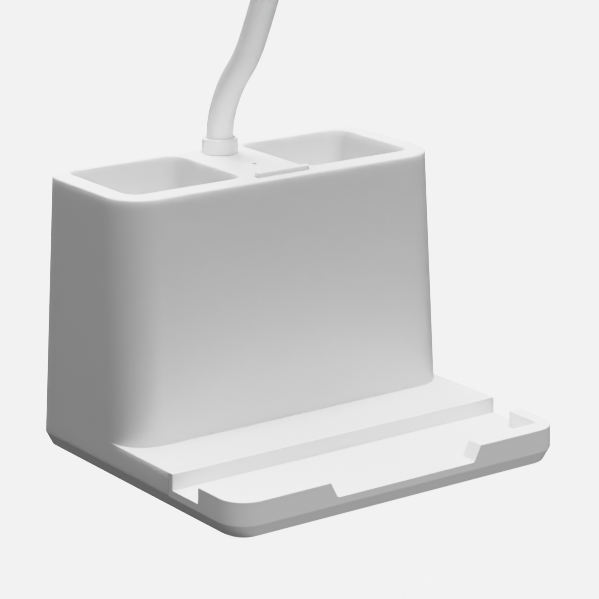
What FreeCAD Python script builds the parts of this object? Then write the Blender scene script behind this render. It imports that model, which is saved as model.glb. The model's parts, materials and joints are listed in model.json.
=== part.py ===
import FreeCAD, Part
import math
import os

from FreeCAD import Vector

# Desk lamp with a pen-cup base, a shallow drawer whose front is the phone tray,
# and a gooseneck that carries a bar-shaped LED head.  Millimetres, +Z up, front
# faces -Y.  The origin is on the desk, under the centre of the base.

# ---- levels of the base
feet_gap = 0.8            # desk to the underside of the base
skirt_height = 3.9        # bevelled skirt of the base cover and the drawer
deck_height = 11.3        # top of the phone deck and of the tray rim
body_height = 87.5        # top of the pen-cup body
pocket_height = 6.2       # floor of the tray pocket and of the phone channel
cup_depth = 50.0
# ---- plan of the base
base_width = 123.2
base_depth = 110.5
body_setback = 55.9       # tray front to the foot of the body's front face
side_draft = 0.0296       # mm inward per mm of height
front_draft = 0.046
back_draft = 0.049
body_front_radius = 12.0
back_radius = 6.0
tray_radius = 8.9
skirt_bevel = 1.7
wall = 2.2
deck_wall = 1.8
top_wall = 2.2
edge_round = 0.6
fit = 0.15                # clearance between pieces that are fitted together
slide_fit = 0.3           # running clearance of the drawer
seam_gap = 0.1            # closed drawer to the deck's front
# ---- pen cups
cup_side_wall = 6.15      # outer side of the body's top to the cup
cup_back_wall = 1.45
cup_radius = 4.8
mouth_round = 0.4         # rounding of the cups' mouths
cup_wall = 1.6
bridge_width = 23.7
cup_front_wall = 7.4
cup_draft = 0.02
# ---- phone tray, which is the front of the drawer
rim_front = 5.9
rim_side = 5.3
rim_length = 19.5         # tray front to the ends of the side rims
channel_width = 13.5      # phone channel behind the rims
channel_back = 2.0        # wall at the back of the channel
notch_low = 51.5
notch_high = 56.7
notch_x = 0.5
notch_radius = 1.2
floor_wall = 1.8
# ---- drawer pan and its guides
pan_side = 11.6           # side of the base to the pan's outer side
pan_length = 54.0
pan_wall = 1.5
pan_floor = 1.4
pan_wall_low = 6.9        # height of the pan's front wall above the desk
drawer_travel = 42.0
rail_height = 2.6
rail_wall = 1.5
lug_size = 2.3
lug_length = 3.0
lug_rise = 5.8
lug_height = 3.0
stop_length = 3.0
cover_floor = 1.8
lip_wall = 1.2
lip_height = 1.7
drawer_screw_side = 21.6  # side of the base to the drawer's screws
drawer_screw_inset = 9.0
drawer_screw_roof = 1.1   # top of the screw holes below the tray's floor
drawer_post_rise = 2.0    # foot of the drawer's posts above its underside
# ---- ballast, battery and board
ballast_thick = 2.5
ballast_margin = 0.5
ballast_side = 9.6        # side of the base to the plate's edge
ballast_radius = 9.0
ballast_back_radius = 3.0
ballast_back_gap = 1.0
post_radius = 3.5
post_side = 17.6
post_inset = 9.0
boss_radius = 3.0
boss_side = 5.9
boss_front_inset = 9.0    # behind the front edge of the deck
boss_back_inset = 9.5     # in front of the back of the base
boss_rise = 8.0           # tops of the back bosses above the deck
boss_web = 2.0
cell_radius = 9.2
cell_length = 65.2
holder_wall = 1.4
holder_floor = 1.6
holder_gap = 2.9          # body's front wall to the holder
cell_tip = 1.2
contact_thick = 1.0
contact_half = 4.0
contact_low = 3.5         # foot of the contacts above the ballast
contact_high = 3.0        # top of the contacts above the cell's axis
board_width = 46.0
board_thick = 1.6
board_front_gap = 5.05    # back of the holder to the board
board_back_gap = 5.25     # board to the back of the base
board_rise = 5.0
board_screw_inset = 3.5
board_post_radius = 2.6
port_width = 9.0
port_height = 3.3
port_length = 7.4
port_shell = 0.6
port_mouth = 5.5
port_sink = 0.2
tongue_side = 1.0
tongue_half = 0.35
tongue_sink = 1.2
# ---- screws and feet
screw_radius = 1.25
screw_head_radius = 2.3
screw_head = 1.5
screw_seat = 1.2          # depth of the counterbores in the underside
screw_sink = 0.2
screw_slack = 0.05
screw_reach = 6.0
screw_tip = 0.5           # unused end of a screw hole
small_screw_radius = 0.9
small_screw_head = 1.7
small_screw_height = 1.0
small_screw_reach = 4.0
foot_radius = 5.0
foot_seat = 0.6
foot_side = 15.6
foot_front_inset = 8.0
foot_back_inset = 13.0
# ---- power key, finger dish and indicator on the bridge between the cups
bridge_x = 1.0            # the bridge's fittings, off the middle plane
neck_x = 1.3
key_length = 19.8
key_width = 2.4
key_inset = 4.15          # body's top front edge to the key's front face
key_proud = 1.4
key_gap = 0.2
key_travel = 0.6
key_flange = 0.8
key_flange_thick = 1.2
key_play = 0.1            # flange to the casing above and to the switch below
switch_side = 6.0
switch_height = 3.6
switch_button = 1.6
switch_offset = 0.8
switch_board_thick = 1.2
switch_board_length = 20.0
switch_board_gap = 1.05   # board to the walls of the cups
switch_board_front = 0.6  # board's edge in front of the key
switch_post_radius = 2.0
switch_post_x = 6.6
switch_post_inset = 9.6   # key front face to the posts
dish_radius = 5.2
dish_depth = 0.8
dish_x = -5.5
dish_inset = 17.0         # key front face to the middle of the dish
light_radius = 0.6
light_inset = 16.1        # key front face to the light
# ---- gooseneck
neck_inset = 7.0          # back of the body's top to the neck's axis
collar_radius = 5.8
collar_height = 4.9
sleeve_radius = 4.35
core_radius = 2.5
core_fit = 0.1
ferrule_radius = 3.4
ferrule_drop = 11.0       # below the body's top
ferrule_seat = 1.0        # collar top down to the ferrule's top
nut_width = 8.2
nut_height = 3.0
washer_radius = 4.6
washer_thick = 0.8
joint_gap = 0.3
neck_root_length = 22.0
neck_segments = 7
# lengths along the neck, and the lean from upright that each ends at
neck_lengths = [8.0, 18.0, 14.0, 20.0, 24.0, 38.0, 40.0, 26.0, 34.0]
neck_leans = [20.0, 43.0, 27.0, 24.0, 0.0, -19.0, -10.5, 30.0, 96.0]
tip_gap = 0.6             # end of the neck to the bottom of the head's socket
# ---- lamp head
head_width = 118.0
head_length = 42.0
shell_height = 8.0
bezel_height = 4.0
head_radius = 13.0
head_round = 3.0
head_wall = 1.8
head_drop = 2.0           # neck axis down to the joint of shell and bezel
socket_radius = 6.2
socket_length = 7.0
socket_grip = 5.0
window_margin = 7.0
window_radius = 7.0
diffuser_thick = 1.5
diffuser_lip = 1.2
led_board_thick = 1.2
led_rows = 2
led_columns = 14
led_length = 3.5
led_width = 2.8
led_height = 0.7
led_gap = 1.2             # lamps to the diffuser
led_end_margin = 4.0
head_screw_side = 6.5
head_screw_depth = 4.5
head_post_radius = 2.6
window_end_margin = 11.0
led_board_inset = 5.0
led_peg_side = 29.0
led_board_radius = 3.0
head_lip = 1.5

# ---- levels and planes worked out from the sizes above
base_z = feet_gap
skirt_z = base_z + skirt_height
deck_z = base_z + deck_height
body_z = base_z + body_height
pocket_z = base_z + pocket_height
cup_z = body_z - cup_depth
front_y = -base_depth / 2
back_y = base_depth / 2
half_width = base_width / 2
seam_y = front_y + rim_length + channel_width + channel_back
deck_front_y = seam_y + seam_gap
body_foot_y = front_y + body_setback
body_top_front_y = body_foot_y + front_draft * (body_z - deck_z)
cup_front_y = body_top_front_y + cup_front_wall
cup_width = half_width - side_draft * (body_z - skirt_z) - cup_side_wall - bridge_width / 2
cup_length = back_y - back_draft * (body_z - skirt_z) - cup_back_wall - cup_front_y
cup_x = bridge_width / 2 + cup_width / 2
key_y = body_top_front_y + key_inset
top_under_z = body_z - top_wall
neck_y = back_y - back_draft * (body_z - skirt_z) - neck_inset
collar_top_z = body_z + collar_height
flange_z = top_under_z - key_play - key_flange_thick
switch_top_z = flange_z - key_travel - key_play
switch_board_z = switch_top_z - switch_height - switch_board_thick
switch_board_half = bridge_width / 2 - cup_wall - switch_board_gap
cover_top_z = base_z + cover_floor
pan_z = cover_top_z + slide_fit
deck_under_z = deck_z - deck_wall
pan_top_z = deck_under_z - slide_fit
pan_back_y = seam_y + pan_length
pan_width = base_width - 2 * pan_side
drawer_screw_x = half_width - drawer_screw_side
ballast_z = deck_under_z
ballast_top_z = ballast_z + ballast_thick
ballast_half = half_width - ballast_side
post_x = half_width - post_side
boss_x = half_width - boss_side
foot_x = half_width - foot_side
boss_ys = (deck_front_y + boss_front_inset, back_y - boss_back_inset)
post_ys = (body_foot_y + wall + post_inset, back_y - wall - post_inset)
cell_y = body_foot_y + wall + holder_gap + holder_wall + cell_radius
board_front_y = cell_y + cell_radius + holder_wall + board_front_gap
board_back_y = back_y - board_back_gap
board_y = (board_front_y + board_back_y) / 2
neck_bends = list(zip(neck_lengths, neck_leans))
head_screw_x = head_width / 2 - head_screw_side
led_peg_x = head_width / 2 - led_peg_side


def side_x(z):
    return half_width - side_draft * (z - skirt_z)


def rear_y(z):
    return back_y - back_draft * (z - skirt_z)


def body_front(z):
    return body_foot_y + front_draft * (z - deck_z)


def box(x0, x1, y0, y1, z0, z1):
    return Part.makeBox(x1 - x0, y1 - y0, z1 - z0, Vector(x0, y0, z0))


def cylinder(radius, z0, z1, x=0.0, y=0.0):
    return Part.makeCylinder(radius, z1 - z0, Vector(x, y, z0))


def edges_like(shape, test):
    return [edge for edge in shape.Edges if test(edge)]


def upright(edge):
    start, end = edge.Vertexes[0].Point, edge.Vertexes[-1].Point
    rise = abs(end.z - start.z)
    return rise > 0.5 and rise > 4 * math.hypot(end.x - start.x, end.y - start.y)


def round_edges(shape, radius, test):
    chosen = edges_like(shape, test)
    return shape.makeFillet(radius, chosen) if chosen and radius > 0 else shape


def drafted_block(low, high):
    # low and high: (half width, front y, back y, z)
    def corners(level):
        half, front, back, z = level
        return [Vector(-half, front, z), Vector(half, front, z),
                Vector(half, back, z), Vector(-half, back, z)]
    bottom, top = corners(low), corners(high)
    loops = [bottom[::-1], top]
    for index in range(4):
        after = (index + 1) % 4
        loops.append([bottom[index], bottom[after], top[after], top[index]])
    faces = [Part.Face(Part.makePolygon(loop + [loop[0]])) for loop in loops]
    return Part.makeSolid(Part.makeShell(faces))


def rounded_plan(half, front, back, z, front_radius, rear_radius):
    # closed outline, anticlockwise from above
    radii = [rear_radius, rear_radius, front_radius, front_radius]
    points = [Vector(half, back, z), Vector(-half, back, z),
              Vector(-half, front, z), Vector(half, front, z)]
    edges, ends = [], []
    for index, corner in enumerate(points):
        radius = radii[index]
        before = (points[index - 1] - corner).normalize()
        after = (points[(index + 1) % 4] - corner).normalize()
        start = corner + before * radius
        stop = corner + after * radius
        centre = corner + (before + after) * radius
        middle = centre + (corner - centre).normalize() * radius
        ends.append((start, middle, stop))
    for index, (start, middle, stop) in enumerate(ends):
        edges.append(Part.Arc(start, middle, stop).toShape())
        edges.append(Part.LineSegment(stop, ends[(index + 1) % 4][0]).toShape())
    return Part.Wire(edges)


def rounded_prism(half, front, back, z0, z1, front_radius, rear_radius=None):
    rear = front_radius if rear_radius is None else rear_radius
    outline = rounded_plan(half, front, back, z0, front_radius, rear)
    return Part.Face(outline).extrude(Vector(0, 0, z1 - z0))


def export(node, shapes):
    shape = shapes if isinstance(shapes, Part.Shape) else Part.makeCompound(shapes)
    shape.exportStep("parts/%s.step" % node)


# ---- casing of the base

def body_block(inset, z0, z1, lift=0.0):
    # the pen-cup body, drawn in by inset on every side
    def level(z):
        return (side_x(z) - inset, body_front(z) + inset, rear_y(z) - inset + lift, z)
    block = drafted_block(level(z0), level(z1))
    front_radius = max(body_front_radius - inset, 0.5)
    rear_radius = max(back_radius - inset, 0.5)
    middle_y = (body_front(z0) + back_y) / 2

    def at_front(edge):
        return upright(edge) and edge.CenterOfMass.y < middle_y

    def at_back(edge):
        return upright(edge) and edge.CenterOfMass.y > middle_y
    block = round_edges(block, front_radius, at_front)
    return round_edges(block, rear_radius, at_back)


def slab_block(inset, front, z0, z1, rear_inset):
    def level(z):
        return (side_x(z) - inset, front, rear_y(z) - rear_inset, z)
    block = drafted_block(level(z0), level(z1))
    middle_y = (front + back_y) / 2

    def at_back(edge):
        return upright(edge) and edge.CenterOfMass.y > middle_y
    return round_edges(block, max(back_radius - rear_inset, 0.5), at_back)


def cup_block(side, grow, z0, z1):
    # one pen cup with drafted walls; side is -1 for the left cup
    def level(z):
        shrink = cup_draft * (body_z - z) - grow
        front = cup_front_y + shrink
        back = cup_front_y + cup_length - shrink
        outline = rounded_plan(cup_width / 2 - shrink, front, back, z,
                               cup_radius + grow, cup_radius + grow)
        outline.translate(Vector(side * cup_x, 0, 0))
        return outline
    return Part.makeLoft([level(z0), level(z1)], True, True)


def screw_post(radius, x, y, z0, z1):
    return cylinder(radius, z0, z1, x, y)


def main_housing():
    outer = slab_block(0.0, deck_front_y, skirt_z, deck_z, 0.0).fuse(
        body_block(0.0, skirt_z, body_z)).removeSplitter()

    def crown(edge):
        box_ = edge.BoundBox
        return box_.ZMin > body_z - 0.01
    outer = round_edges(outer, edge_round, crown)
    hollow = slab_block(wall, deck_front_y - 1.0, skirt_z - 1.0, deck_under_z, wall).fuse(
        body_block(wall, skirt_z - 1.0, body_z - top_wall))
    shell = outer.cut(hollow)
    walls = []
    for side in (-1, 1):
        walls.append(cup_block(side, cup_wall, cup_z - cup_wall, body_z - top_wall / 2))
        for y in post_ys:
            walls.append(screw_post(post_radius, side * post_x, y, ballast_top_z,
                                    cup_z - cup_wall / 2))
        walls.append(screw_post(boss_radius, side * boss_x, boss_ys[0], cover_top_z,
                                deck_z - deck_wall / 2))
        walls.append(screw_post(boss_radius, side * boss_x, boss_ys[1], cover_top_z,
                                deck_z + boss_rise))
        web = box(boss_x, half_width, boss_ys[1] - boss_web / 2, boss_ys[1] + boss_web / 2,
                  skirt_z + lip_height + slide_fit, deck_z + boss_rise)
        walls.append(mirror_x(web, side))
    for x, y in switch_post_spots():
        walls.append(screw_post(switch_post_radius, x, y, switch_board_z + switch_board_thick,
                                body_z - top_wall / 2))
    inside = body_block(wall / 2, cover_top_z - 1.0, body_z - top_wall / 2)
    front_zone = slab_block(wall / 2, deck_front_y, cover_top_z - 1.0, deck_z - deck_wall / 2,
                            wall / 2)
    limit = inside.fuse(front_zone)
    shell = shell.fuse([piece.common(limit) for piece in walls])
    wells = [cup_block(side, 0.0, cup_z, body_z + 1.0) for side in (-1, 1)]
    shell = shell.cut(wells)

    def mouth(edge):
        middle = edge.CenterOfMass
        return edge.BoundBox.ZMin > body_z - 0.01 and abs(middle.x) < cup_x + cup_width / 2 + 1 \
            and cup_front_y - 1 < middle.y < cup_front_y + cup_length + 1
    shell = round_edges(shell, mouth_round, mouth)
    drills = []
    for side in (-1, 1):
        for y in post_ys:
            drills.append(cylinder(screw_radius, ballast_top_z - 1, ballast_top_z + screw_reach,
                                   side * post_x, y))
        for y in boss_ys:
            drills.append(cylinder(screw_radius, cover_top_z - 1, cover_top_z + screw_reach,
                                   side * boss_x, y))
    for x, y in switch_post_spots():
        drills.append(cylinder(small_screw_radius, switch_board_z, top_under_z, x, y))
    slot = key_block(key_gap, 0.0)
    drills.append(slot.common(box(-body_z, body_z, front_y, back_y, top_under_z - 1,
                                  body_z + 1)))
    drills.append(finger_dish())
    drills.append(cylinder(light_radius + 0.05, top_under_z - 1, body_z + 1, bridge_x,
                           light_y()))
    drills.append(cylinder(ferrule_radius + fit, top_under_z - 1, body_z + 1, neck_x, neck_y))
    drills.append(port_block(fit))
    return shell.cut(drills).removeSplitter()


def key_block(grow, flange):
    # the power key's upper bar, or its hidden flange
    half = key_length / 2 + grow + flange
    block = rounded_prism(half, key_y - grow - flange, key_y + key_width + grow + flange,
                          flange_z, body_z + key_proud, key_width / 4 + grow)
    block.translate(Vector(bridge_x, 0, 0))
    return block


def finger_dish():
    sphere_radius = (dish_radius ** 2 + dish_depth ** 2) / (2 * dish_depth)
    return Part.makeSphere(sphere_radius, Vector(dish_x, key_y + dish_inset,
                                                 body_z - dish_depth + sphere_radius))


def light_y():
    return key_y + light_inset


def switch_post_spots():
    return [(side * switch_post_x, key_y + switch_post_inset) for side in (-1, 1)]


def base_cover():
    def outline(z, inset):
        return rounded_plan(half_width - inset, deck_front_y, back_y - inset, z,
                            0.3, back_radius - inset / 2)
    skirt = Part.makeLoft([outline(base_z, skirt_bevel), outline(skirt_z, 0.0)], True, True)
    room = rounded_prism(half_width - wall - skirt_bevel, deck_front_y - 1, back_y - wall
                         - skirt_bevel, cover_top_z, skirt_z + 1, 0.3, back_radius - wall)
    cover = skirt.cut(room)
    lip_out = wall + fit
    lip = slab_block(lip_out, deck_front_y + wall, skirt_z - 0.5, skirt_z + lip_height,
                     lip_out)
    lip_in = lip_out + lip_wall
    lip = lip.cut(slab_block(lip_in, deck_front_y, skirt_z - 1.0, skirt_z + lip_height + 1,
                             lip_in))
    pan_half = pan_width / 2
    guides = []
    for side in (-1, 1):
        inner = pan_half + slide_fit
        rail = box(inner, inner + rail_wall, deck_front_y + wall, pan_back_y + 2,
                   cover_top_z - 0.2, cover_top_z + rail_height)
        stop_y = lug_front() - drawer_travel - slide_fit
        stop = box(inner, pan_half + lug_size + slide_fit, stop_y - stop_length, stop_y,
                   cover_top_z - 0.2, lug_base() + lug_height)
        guides += [mirror_x(rail, side), mirror_x(stop, side)]
    cover = cover.fuse([lip] + guides)
    bosses = [cylinder(boss_radius + fit, cover_top_z, skirt_z + lip_height + 1,
                       side * boss_x, y) for side in (-1, 1) for y in boss_ys]
    drills = []
    for side in (-1, 1):
        for y in boss_ys:
            drills.append(cylinder(screw_radius + fit, base_z - 1, cover_top_z + 1,
                                   side * boss_x, y))
            drills.append(cylinder(screw_head_radius + fit, base_z - 1,
                                   base_z + screw_seat, side * boss_x, y))
        for y in foot_ys():
            drills.append(cylinder(foot_radius + fit, base_z - 1, base_z + foot_seat,
                                   side * foot_x, y))
    return cover.cut(bosses + drills).removeSplitter()


def mirror_x(shape, side):
    return shape if side > 0 else shape.mirror(Vector(0, 0, 0), Vector(1, 0, 0))


def lug_front():
    return pan_back_y - lug_length


def lug_base():
    return base_z + lug_rise


def foot_ys():
    return deck_front_y + foot_front_inset, back_y - foot_back_inset


def rubber_feet():
    return [cylinder(foot_radius, 0.0, base_z + foot_seat, side * foot_x, y)
            for side in (-1, 1) for y in foot_ys()]


def cover_screws():
    screws = []
    for side in (-1, 1):
        for y in boss_ys:
            head_top = base_z + screw_seat
            head = cylinder(screw_head_radius, base_z + screw_sink, head_top, side * boss_x, y)
            shank = cylinder(screw_radius - screw_slack, head_top - 0.1,
                             cover_top_z + screw_reach - screw_tip, side * boss_x, y)
            screws.append(head.fuse(shank).removeSplitter())
    return screws


# ---- power key, switch and neck fixing

def power_key():
    bar = key_block(0.0, 0.0)

    def crown(edge):
        return edge.BoundBox.ZMin > body_z + key_proud - 0.01
    bar = round_edges(bar, key_width / 12, crown)
    flange = key_block(0.0, key_flange).common(
        box(-body_z, body_z, front_y, back_y, flange_z, flange_z + key_flange_thick))
    return bar.fuse(flange).removeSplitter()


def tact_switch():
    half = switch_side / 2
    y = key_y + key_width / 2
    low = switch_board_z + switch_board_thick
    block = box(bridge_x - half, bridge_x + half, y - half + switch_offset,
                y + half + switch_offset, low, switch_top_z - switch_height / 4)
    return block.fuse(cylinder(switch_button, low, switch_top_z, bridge_x, y)).removeSplitter()


def switch_board():
    front = key_y - switch_board_front
    board = box(-switch_board_half, switch_board_half, front, front + switch_board_length,
                switch_board_z, switch_board_z + switch_board_thick)
    return board.cut([cylinder(small_screw_radius + 2 * screw_slack, 0, body_z, x, y)
                      for x, y in switch_post_spots()])


def switch_screws():
    screws = []
    for x, y in switch_post_spots():
        head = cylinder(small_screw_head, switch_board_z - small_screw_height, switch_board_z,
                        x, y)
        shank = cylinder(small_screw_radius - screw_slack, switch_board_z - 0.1,
                         switch_board_z + switch_board_thick + small_screw_reach, x, y)
        screws.append(head.fuse(shank).removeSplitter())
    return screws


def indicator_light():
    low = switch_board_z + switch_board_thick
    return cylinder(light_radius, low, body_z, bridge_x, light_y())


def neck_collar():
    ring = cylinder(collar_radius, body_z, collar_top_z, neck_x, neck_y)

    def top_rim(edge):
        return edge.BoundBox.ZMin > collar_top_z - 0.01
    ring = round_edges(ring, edge_round, top_rim)
    bore = cylinder(ferrule_radius + 0.05, body_z - 1, collar_top_z + 1, neck_x, neck_y)
    seat = cylinder(sleeve_radius + core_fit, collar_top_z - ferrule_seat, collar_top_z + 1,
                    neck_x, neck_y)
    return ring.cut([bore, seat])


def neck_ferrule():
    top = collar_top_z - ferrule_seat
    tube = cylinder(ferrule_radius, body_z - ferrule_drop, top, neck_x, neck_y)
    return tube.cut(cylinder(core_radius + core_fit, 0, top + 1, neck_x, neck_y))


def hexagon(width, z0, z1, x, y):
    radius = width / math.sqrt(3)
    points = [Vector(x + radius * math.cos(math.radians(60 * turn)),
                     y + radius * math.sin(math.radians(60 * turn)), z0) for turn in range(7)]
    return Part.Face(Part.makePolygon(points)).extrude(Vector(0, 0, z1 - z0))


def washer_z():
    return top_under_z - washer_thick


def neck_washer():
    ring = cylinder(washer_radius, washer_z(), top_under_z, neck_x, neck_y)
    return ring.cut(cylinder(ferrule_radius + 0.05, 0, body_z, neck_x, neck_y))


def neck_nut():
    nut = hexagon(nut_width, washer_z() - nut_height, washer_z(), neck_x, neck_y)
    return nut.cut(cylinder(ferrule_radius + 0.02, 0, body_z, neck_x, neck_y))


# ---- ballast, battery and charging board

def ballast_plate():
    front = body_foot_y + wall + ballast_margin
    back = back_y - wall - ballast_back_gap
    plate = rounded_prism(ballast_half, front, back, ballast_z, ballast_top_z, ballast_radius,
                          ballast_back_radius)
    holes = [cylinder(screw_radius + fit, 0, body_z, side * post_x, y)
             for side in (-1, 1) for y in post_ys]
    holes += [cylinder(screw_head_radius + fit, 0, ballast_z + screw_head, side * post_x, y)
              for side in (-1, 1) for y in post_ys]
    return plate.cut(holes)


def ballast_screws():
    screws = []
    for side in (-1, 1):
        for y in post_ys:
            head_top = ballast_z + screw_head
            head = cylinder(screw_head_radius, ballast_z + screw_sink, head_top, side * post_x,
                            y)
            shank = cylinder(screw_radius - screw_slack, head_top - 0.1,
                             ballast_top_z + screw_reach - screw_tip, side * post_x, y)
            screws.append(head.fuse(shank).removeSplitter())
    return screws


def cell_centre():
    return Vector(0, cell_y, ballast_top_z + holder_floor + cell_radius)


def lying_cylinder(radius, x0, x1, centre):
    return Part.makeCylinder(radius, x1 - x0, Vector(x0, centre.y, centre.z), Vector(1, 0, 0))


def battery_cell():
    centre = cell_centre()
    half = cell_length / 2
    body = lying_cylinder(cell_radius, -half, half - cell_tip, centre)
    tip = lying_cylinder(cell_radius * 0.35, half - cell_tip - 0.1, half, centre)
    return body.fuse(tip).removeSplitter()


def battery_holder():
    centre = cell_centre()
    half = cell_length / 2 + contact_thick
    outer = cell_radius + holder_wall
    block = box(-half - holder_wall, half + holder_wall, centre.y - outer, centre.y + outer,
                ballast_top_z, centre.z)
    trough = lying_cylinder(cell_radius + fit, -half, half, centre)
    return block.cut(trough)


def battery_contacts():
    centre = cell_centre()
    half = cell_length / 2
    plates = []
    for side in (-1, 1):
        inner, outer = sorted((side * half, side * (half + contact_thick)))
        plates.append(box(inner, outer, centre.y - contact_half, centre.y + contact_half,
                          ballast_top_z + contact_low, centre.z + contact_high))
    return plates


def board_z():
    return ballast_top_z + board_rise


def port_z():
    return board_z() + board_thick


def port_block(grow):
    z = port_z()
    half = port_width / 2 + grow
    back = rear_y(z) + 1.0
    block = box(-half, half, back - port_length - wall, back + grow, z - grow,
                z + port_height + grow)

    def along_y(edge):
        start, end = edge.Vertexes[0].Point, edge.Vertexes[-1].Point
        return abs(end.y - start.y) > 1.0
    return round_edges(block, port_height / 2 - 0.1, along_y)


def charge_socket():
    z = port_z()
    outer = port_block(0.0).common(box(-port_width, port_width, 0,
                                       rear_y(z + port_height) - port_sink, 0, body_z))
    half = port_width / 2 - port_shell
    mouth = box(-half, half, rear_y(z) - port_mouth, rear_y(z) + 2, z + port_shell,
                z + port_height - port_shell)
    tongue = box(-half + tongue_side, half - tongue_side, rear_y(z) - port_mouth - 0.5,
                 rear_y(z) - tongue_sink, z + port_height / 2 - tongue_half,
                 z + port_height / 2 + tongue_half)
    return outer.cut(mouth).fuse(tongue).removeSplitter()


def control_board():
    z = board_z()
    board = box(-board_width / 2, board_width / 2, board_front_y, board_back_y, z,
                z + board_thick)
    holes = [cylinder(screw_radius + fit, 0, body_z, side * board_screw_x(), board_y)
             for side in (-1, 1)]
    return board.cut(holes)


def board_screw_x():
    return board_width / 2 - board_screw_inset


def board_posts():
    return [cylinder(board_post_radius, ballast_top_z, board_z(), side * board_screw_x(), board_y)
            .cut(cylinder(screw_radius, 0, body_z, side * board_screw_x(), board_y))
            for side in (-1, 1)]


def board_screws():
    screws = []
    top = board_z() + board_thick
    for side in (-1, 1):
        x = side * board_screw_x()
        head = cylinder(screw_head_radius, top, top + screw_head, x, board_y)
        shank = cylinder(screw_radius - screw_slack, ballast_top_z + screw_tip, top + 0.1, x,
                         board_y)
        screws.append(head.fuse(shank).removeSplitter())
    return screws


# ---- drawer

def drawer_front():
    def level(z):
        return side_x(z), front_y, seam_y, z
    block = drafted_block(level(skirt_z), level(deck_z))
    middle_y = (front_y + seam_y) / 2

    def front_corner(edge):
        return upright(edge) and edge.CenterOfMass.y < middle_y
    block = round_edges(block, tray_radius, front_corner)
    channel_end = seam_y - channel_back
    pocket = rounded_prism(half_width - rim_side, front_y + rim_front, channel_end, pocket_z,
                           deck_z + 1, 1.0, 0.1)
    channel = box(-half_width - 1, half_width + 1, front_y + rim_length, channel_end, pocket_z,
                  deck_z + 1)
    under = rounded_prism(half_width - 2 * wall, front_y + wall, seam_y - wall, skirt_z - 1,
                          pocket_z - floor_wall, tray_radius - wall, 1.0)
    block = block.cut([pocket, channel, under, finger_notch()])
    post_z = base_z + drawer_post_rise
    posts = [cylinder(boss_radius, post_z, pocket_z - floor_wall / 2, side * drawer_screw_x, y)
             for side in (-1, 1) for y in drawer_screw_ys()]
    drills = [cylinder(screw_radius, post_z - 1.0, pocket_z - drawer_screw_roof,
                       side * drawer_screw_x, y)
              for side in (-1, 1) for y in drawer_screw_ys()]
    block = block.fuse(posts).cut(drills).removeSplitter()

    def top_edge(edge):
        bounds = edge.BoundBox
        return bounds.ZMin > deck_z - 0.01 and bounds.YMin < front_y + rim_front - 0.5
    return round_edges(block, edge_round / 2, top_edge)


def finger_notch():
    low, high = notch_low / 2, notch_high / 2
    points = [Vector(-low, 0, pocket_z), Vector(low, 0, pocket_z), Vector(high, 0, deck_z),
              Vector(high, 0, deck_z + 1), Vector(-high, 0, deck_z + 1),
              Vector(-high, 0, deck_z)]
    points = [point + Vector(notch_x, front_y - 1, 0) for point in points]
    prism = Part.Face(Part.makePolygon(points + [points[0]])).extrude(
        Vector(0, rim_front + 2, 0))

    def low_corner(edge):
        bounds = edge.BoundBox
        return bounds.YLength > rim_front and bounds.ZMax < pocket_z + 0.01
    return round_edges(prism, notch_radius, low_corner)


def drawer_screw_ys():
    return front_y + drawer_screw_inset, seam_y - drawer_screw_inset


def drawer_pan():
    def outline(z, inset):
        return rounded_plan(half_width - inset, front_y + inset, seam_y, z,
                            tray_radius - inset / 2, 0.3)
    skirt = Part.makeLoft([outline(base_z, skirt_bevel), outline(skirt_z, 0.0)], True, True)
    room = rounded_prism(half_width - 2 * wall, front_y + 2 * wall, seam_y - wall, cover_top_z,
                         skirt_z + 1, tray_radius - wall, 1.0)
    head = skirt.cut(room)
    half = pan_width / 2
    floor = box(-half, half, seam_y, pan_back_y, pan_z, pan_z + pan_floor)
    walls = [box(side * half - (pan_wall if side > 0 else 0),
                 side * half + (0 if side > 0 else pan_wall),
                 deck_front_y, pan_back_y, pan_z, pan_top_z) for side in (-1, 1)]
    walls.append(box(-half, half, pan_back_y - pan_wall, pan_back_y, pan_z, pan_top_z))
    walls.append(box(-half, half, deck_front_y, deck_front_y + pan_wall, pan_z, pan_wall_low))
    for side in (-1, 1):
        lug = box(half - 0.2, half + lug_size, lug_front(), pan_back_y, lug_base(),
                  lug_base() + lug_height)
        walls.append(mirror_x(lug, side))
    pan = head.fuse([floor] + walls)
    drills = []
    for side in (-1, 1):
        for y in drawer_screw_ys():
            x = side * drawer_screw_x
            drills.append(cylinder(screw_radius + fit, 0, skirt_z + 1, x, y))
            drills.append(cylinder(screw_head_radius + fit, 0, base_z + screw_seat, x, y))
            drills.append(cylinder(boss_radius + fit, base_z + drawer_post_rise - screw_slack,
                                   skirt_z + 2, x, y))
    return pan.cut(drills).removeSplitter()


def drawer_screws():
    screws = []
    for side in (-1, 1):
        for y in drawer_screw_ys():
            x = side * drawer_screw_x
            head_top = base_z + screw_seat
            head = cylinder(screw_head_radius, base_z + screw_sink, head_top, x, y)
            shank = cylinder(screw_radius - screw_slack, head_top - 0.1,
                             pocket_z - drawer_screw_roof - screw_sink, x, y)
            screws.append(head.fuse(shank).removeSplitter())
    return screws


# ---- gooseneck

def neck_direction(lean):
    return Vector(0, -math.sin(math.radians(lean)), math.cos(math.radians(lean)))


def neck_pieces():
    # arcs of the neck's centre line: (start, start lean, end lean, length) in turn
    pieces, point, lean = [], Vector(neck_x, neck_y, collar_top_z), 0.0
    for length, end_lean in neck_bends:
        pieces.append((point, lean, end_lean, length))
        point = neck_step(point, lean, end_lean, length, length)
        lean = end_lean
    return pieces


def neck_step(start, lean, end_lean, length, travelled):
    # the point reached after travelling along an arc that turns evenly
    turn = math.radians(end_lean - lean)
    share = travelled / length
    if abs(turn) < 1e-9:
        return start + neck_direction(lean) * travelled
    radius = length / turn
    begin, end = math.radians(lean), math.radians(lean) + turn * share
    return start + Vector(0, -radius * (math.cos(begin) - math.cos(end)),
                          radius * (math.sin(end) - math.sin(begin)))


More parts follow.
